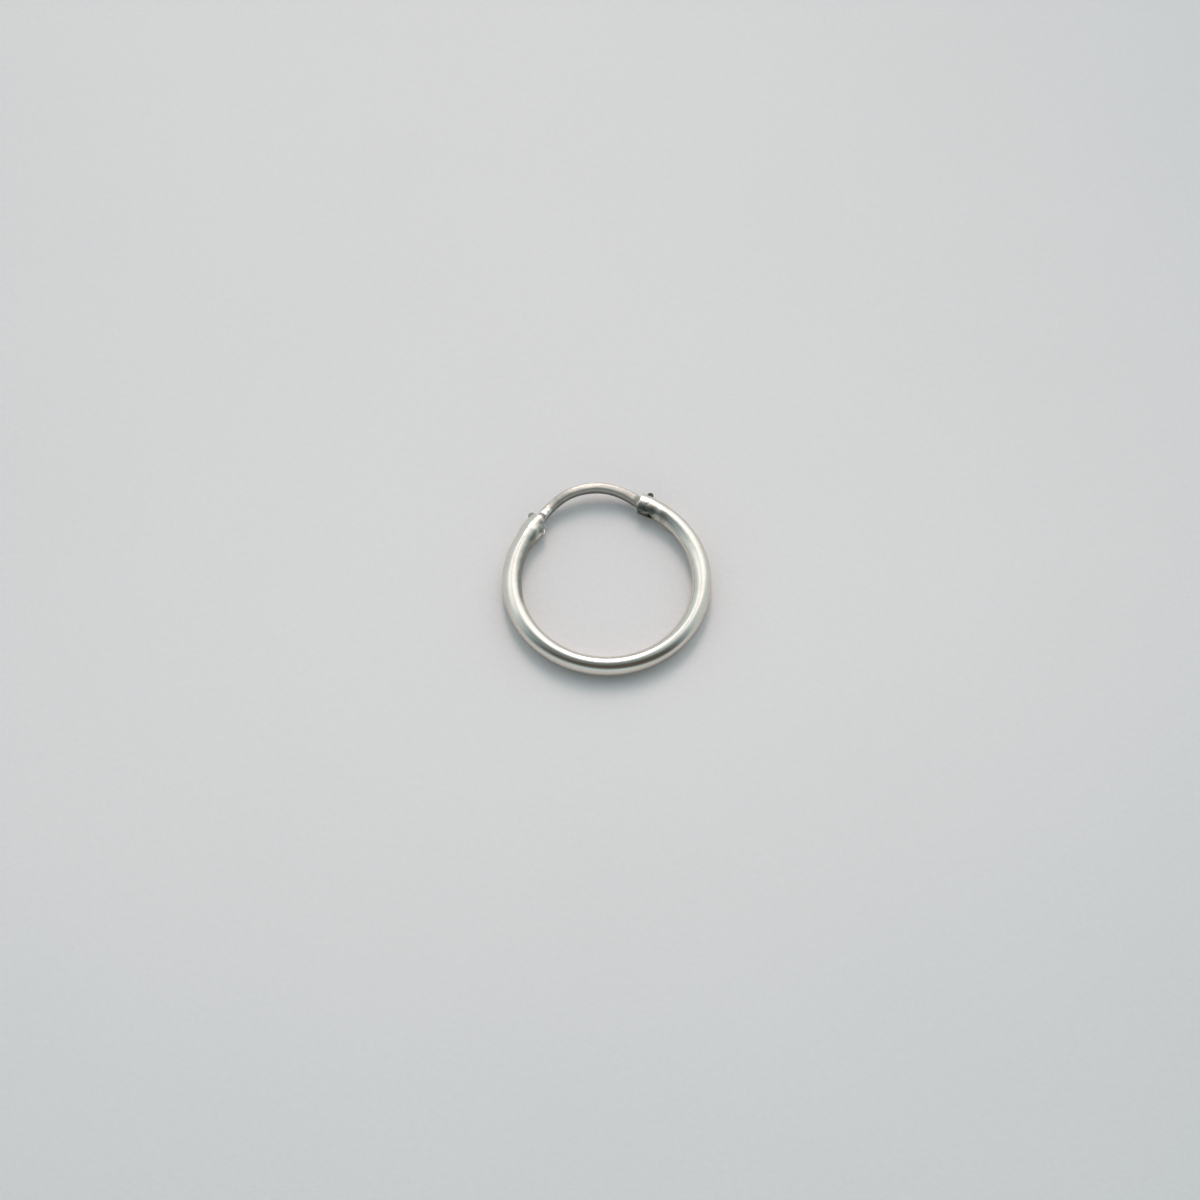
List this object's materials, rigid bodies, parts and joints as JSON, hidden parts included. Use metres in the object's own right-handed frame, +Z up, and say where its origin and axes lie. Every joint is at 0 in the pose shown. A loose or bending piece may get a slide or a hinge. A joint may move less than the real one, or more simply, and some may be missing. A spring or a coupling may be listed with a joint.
{
  "type": "hinged hoop earring",
  "caption": "Small plain tube hoop earring, closed by a thinner bowed ear wire that swings open on a pin at one end and clicks into a fork at the other.",
  "frame": {"origin": "on the floor under the middle of the whole earring as it lies on its side", "axes": "+Z up along the hoop's axis, +Y from the hoop towards the ear wire, +X towards the hinge's side"},
  "size_m": [0.014, 0.0144, 0.0013],
  "materials": {
    "hoop_silver": "polished silver, softly scratched and a little tarnished by the ends",
    "wire_silver": "drawn silver wire, slightly uneven",
    "pin_silver": "tarnished silver"
  },
  "bodies": {
    "hoop": {"hoop_tube": "hoop_silver", "hinge_pin": "pin_silver"},
    "wire": {"ear_wire": "wire_silver"}
  },
  "joints": [
    {"name": "ear_wire_hinge", "type": "hinge", "parent": "hoop", "child": "wire", "pos_m": [0.00381, 0.00492, 0.00065], "axis": [0, 0, -1], "range_deg": [0, 100]}
  ]
}
